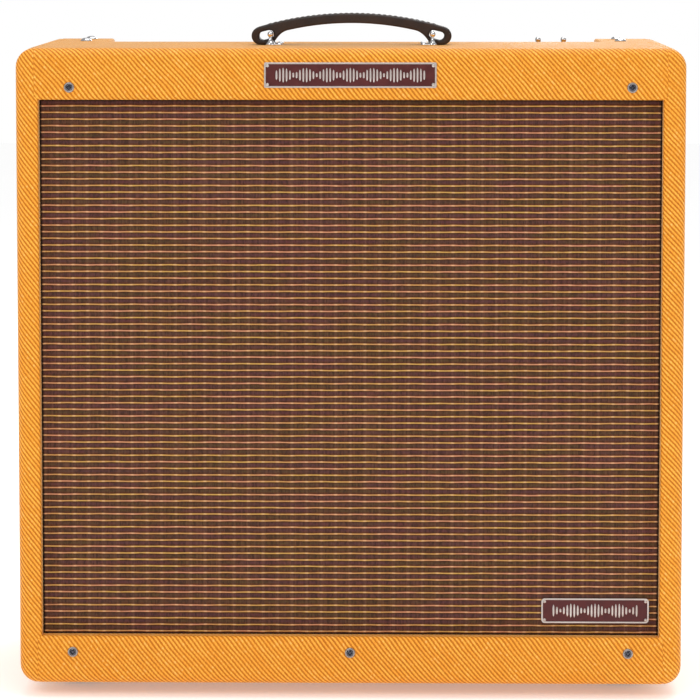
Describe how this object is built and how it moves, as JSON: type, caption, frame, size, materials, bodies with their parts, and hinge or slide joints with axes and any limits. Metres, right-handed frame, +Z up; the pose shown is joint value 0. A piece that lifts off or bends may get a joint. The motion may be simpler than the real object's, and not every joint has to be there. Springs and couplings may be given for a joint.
{
  "type": "guitar amplifier",
  "caption": "Open-backed guitar combo amplifier in amber tweed, with a striped grille cloth, strap handle, top rear controls and loudspeakers on a sloping baffle.",
  "frame": {"origin": "on the floor, under the centre of the cabinet's footprint", "axes": "+X to the right seen from the front, +Y to the back, +Z up; the grille faces -Y and leans back"},
  "size_m": [0.597, 0.2684, 0.6128],
  "materials": {
    "pine": "sanded pine with a yellow tone, unvarnished inside",
    "plywood": "birch plywood",
    "tweed": "lacquered woven tweed, amber and brown diagonal stripe, low gloss",
    "grille": "woven maroon and brown grille cloth with raised gold cords",
    "plate": "maroon enamel with bright metal rim and motif",
    "handle": "dark brown moulded leather look, pebbled top",
    "chrome": "polished chrome",
    "steel": "nickel plated steel",
    "chassis": "plain plated steel sheet",
    "circuit": "green solder mask with black components",
    "aluminium": "extruded, satin",
    "black_plastic": "moulded, satin",
    "knob": "black moulded pointer knob with a white line",
    "jewel": "faceted red lens",
    "rubber": "matt black rubber",
    "basket": "grey pressed steel",
    "magnet": "black ferrite between plated plates",
    "cone_paper": "ribbed grey-black paper",
    "lead": "twin insulated lead"
  },
  "bodies": {
    "cabinet": {"side_board_left": "pine", "side_board_right": "pine", "top_board": "pine", "bottom_board": "pine", "upper_front_rail": "pine", "lower_front_rail": "pine", "cleats": "pine", "baffle_board": "plywood", "tweed_left": "tweed", "tweed_right": "tweed", "tweed_top": "tweed", "tweed_bottom": "tweed", "grille_cloth": "grille", "nameplate": "plate", "grille_badge": "plate", "badge_rivets": "chrome", "front_screws": "steel", "front_screw_washers": "steel", "upper_back_panel": "tweed", "lower_back_panel": "tweed", "back_panel_screws": "steel", "feet": "rubber", "foot_screws": "steel", "handle_saddles": "chrome", "handle_screws": "steel", "chassis_tray": "chassis", "control_panel": "chrome", "chassis_bolts": "chrome", "main_circuit_board": "circuit", "power_supply_board": "circuit", "heat_sink": "aluminium", "potentiometers": "chassis", "input_jacks": "black_plastic", "switch_bodies": "black_plastic", "panel_nuts": "chrome", "pilot_lamp_holder": "chrome", "pilot_jewel": "jewel", "mains_inlet": "black_plastic", "line_out_socket": "black_plastic", "footswitch_jack": "black_plastic", "speaker_baskets": "basket", "speaker_magnets": "magnet", "speaker_bolts": "steel", "speaker_leads": "lead"},
    "handle": {"handle_strap": "handle"},
    "presence_knob": {"presence_knob": "knob"},
    "middle_knob": {"middle_knob": "knob"},
    "bass_knob": {"bass_knob": "knob"},
    "treble_knob": {"treble_knob": "knob"},
    "bright_volume_knob": {"bright_volume_knob": "knob"},
    "volume_knob": {"volume_knob": "knob"},
    "power_toggle_lever": {"power_toggle_lever": "chrome"},
    "standby_toggle_lever": {"standby_toggle_lever": "chrome"},
    "output_selector_knob": {"output_selector_knob": "black_plastic"},
    "line_level_knob": {"line_level_knob": "black_plastic"},
    "filter_slide": {"filter_slide": "black_plastic"},
    "cone_lower_left": {"cone_lower_left": "cone_paper"},
    "cone_lower_right": {"cone_lower_right": "cone_paper"},
    "cone_upper_left": {"cone_upper_left": "cone_paper"},
    "cone_upper_right": {"cone_upper_right": "cone_paper"}
  },
  "joints": [
    {"name": "handle_lift", "type": "slide", "parent": "cabinet", "child": "handle", "axis": [0, 0, 1], "range_m": [0, 0.0015]},
    {"name": "presence_turn", "type": "hinge", "parent": "cabinet", "child": "presence_knob", "pos_m": [0.112, 0.0845, 0.5645], "axis": [0, 0, 1], "range_deg": [-150, 150]},
    {"name": "middle_turn", "type": "hinge", "parent": "cabinet", "child": "middle_knob", "pos_m": [0.074, 0.0845, 0.5645], "axis": [0, 0, 1], "range_deg": [-150, 150]},
    {"name": "bass_turn", "type": "hinge", "parent": "cabinet", "child": "bass_knob", "pos_m": [0.036, 0.0845, 0.5645], "axis": [0, 0, 1], "range_deg": [-150, 150]},
    {"name": "treble_turn", "type": "hinge", "parent": "cabinet", "child": "treble_knob", "pos_m": [-0.002, 0.0845, 0.5645], "axis": [0, 0, 1], "range_deg": [-150, 150]},
    {"name": "bright_volume_turn", "type": "hinge", "parent": "cabinet", "child": "bright_volume_knob", "pos_m": [-0.04, 0.0845, 0.5645], "axis": [0, 0, 1], "range_deg": [-150, 150]},
    {"name": "volume_turn", "type": "hinge", "parent": "cabinet", "child": "volume_knob", "pos_m": [-0.078, 0.0845, 0.5645], "axis": [0, 0, 1], "range_deg": [-150, 150]},
    {"name": "power_toggle", "type": "hinge", "parent": "cabinet", "child": "power_toggle_lever", "pos_m": [0.199, 0.0845, 0.565], "axis": [-1, 0, 0], "range_deg": [0, 24]},
    {"name": "standby_toggle", "type": "hinge", "parent": "cabinet", "child": "standby_toggle_lever", "pos_m": [0.175, 0.0845, 0.565], "axis": [-1, 0, 0], "range_deg": [0, 24]},
    {"name": "output_selector_turn", "type": "hinge", "parent": "cabinet", "child": "output_selector_knob", "pos_m": [0.074, 0.1195, 0.528], "axis": [0, 1, 0], "range_deg": [-75, 75]},
    {"name": "line_level_turn", "type": "hinge", "parent": "cabinet", "child": "line_level_knob", "pos_m": [0.026, 0.1195, 0.528], "axis": [0, 1, 0], "range_deg": [-150, 150]},
    {"name": "filter_slide_shift", "type": "slide", "parent": "cabinet", "child": "filter_slide", "axis": [1, 0, 0], "range_m": [-0.0025, 0.0025]},
    {"name": "cone_lower_left_travel", "type": "slide", "parent": "cabinet", "child": "cone_lower_left", "axis": [0, -0.9989, 0.0471], "range_m": [-0.0025, 0.0025], "stiffness_N_per_m": 2000},
    {"name": "cone_lower_right_travel", "type": "slide", "parent": "cabinet", "child": "cone_lower_right", "axis": [0, -0.9989, 0.0471], "range_m": [-0.0025, 0.0025], "stiffness_N_per_m": 2000},
    {"name": "cone_upper_left_travel", "type": "slide", "parent": "cabinet", "child": "cone_upper_left", "axis": [0, -0.9989, 0.0471], "range_m": [-0.0025, 0.0025], "stiffness_N_per_m": 2000},
    {"name": "cone_upper_right_travel", "type": "slide", "parent": "cabinet", "child": "cone_upper_right", "axis": [0, -0.9989, 0.0471], "range_m": [-0.0025, 0.0025], "stiffness_N_per_m": 2000}
  ]
}
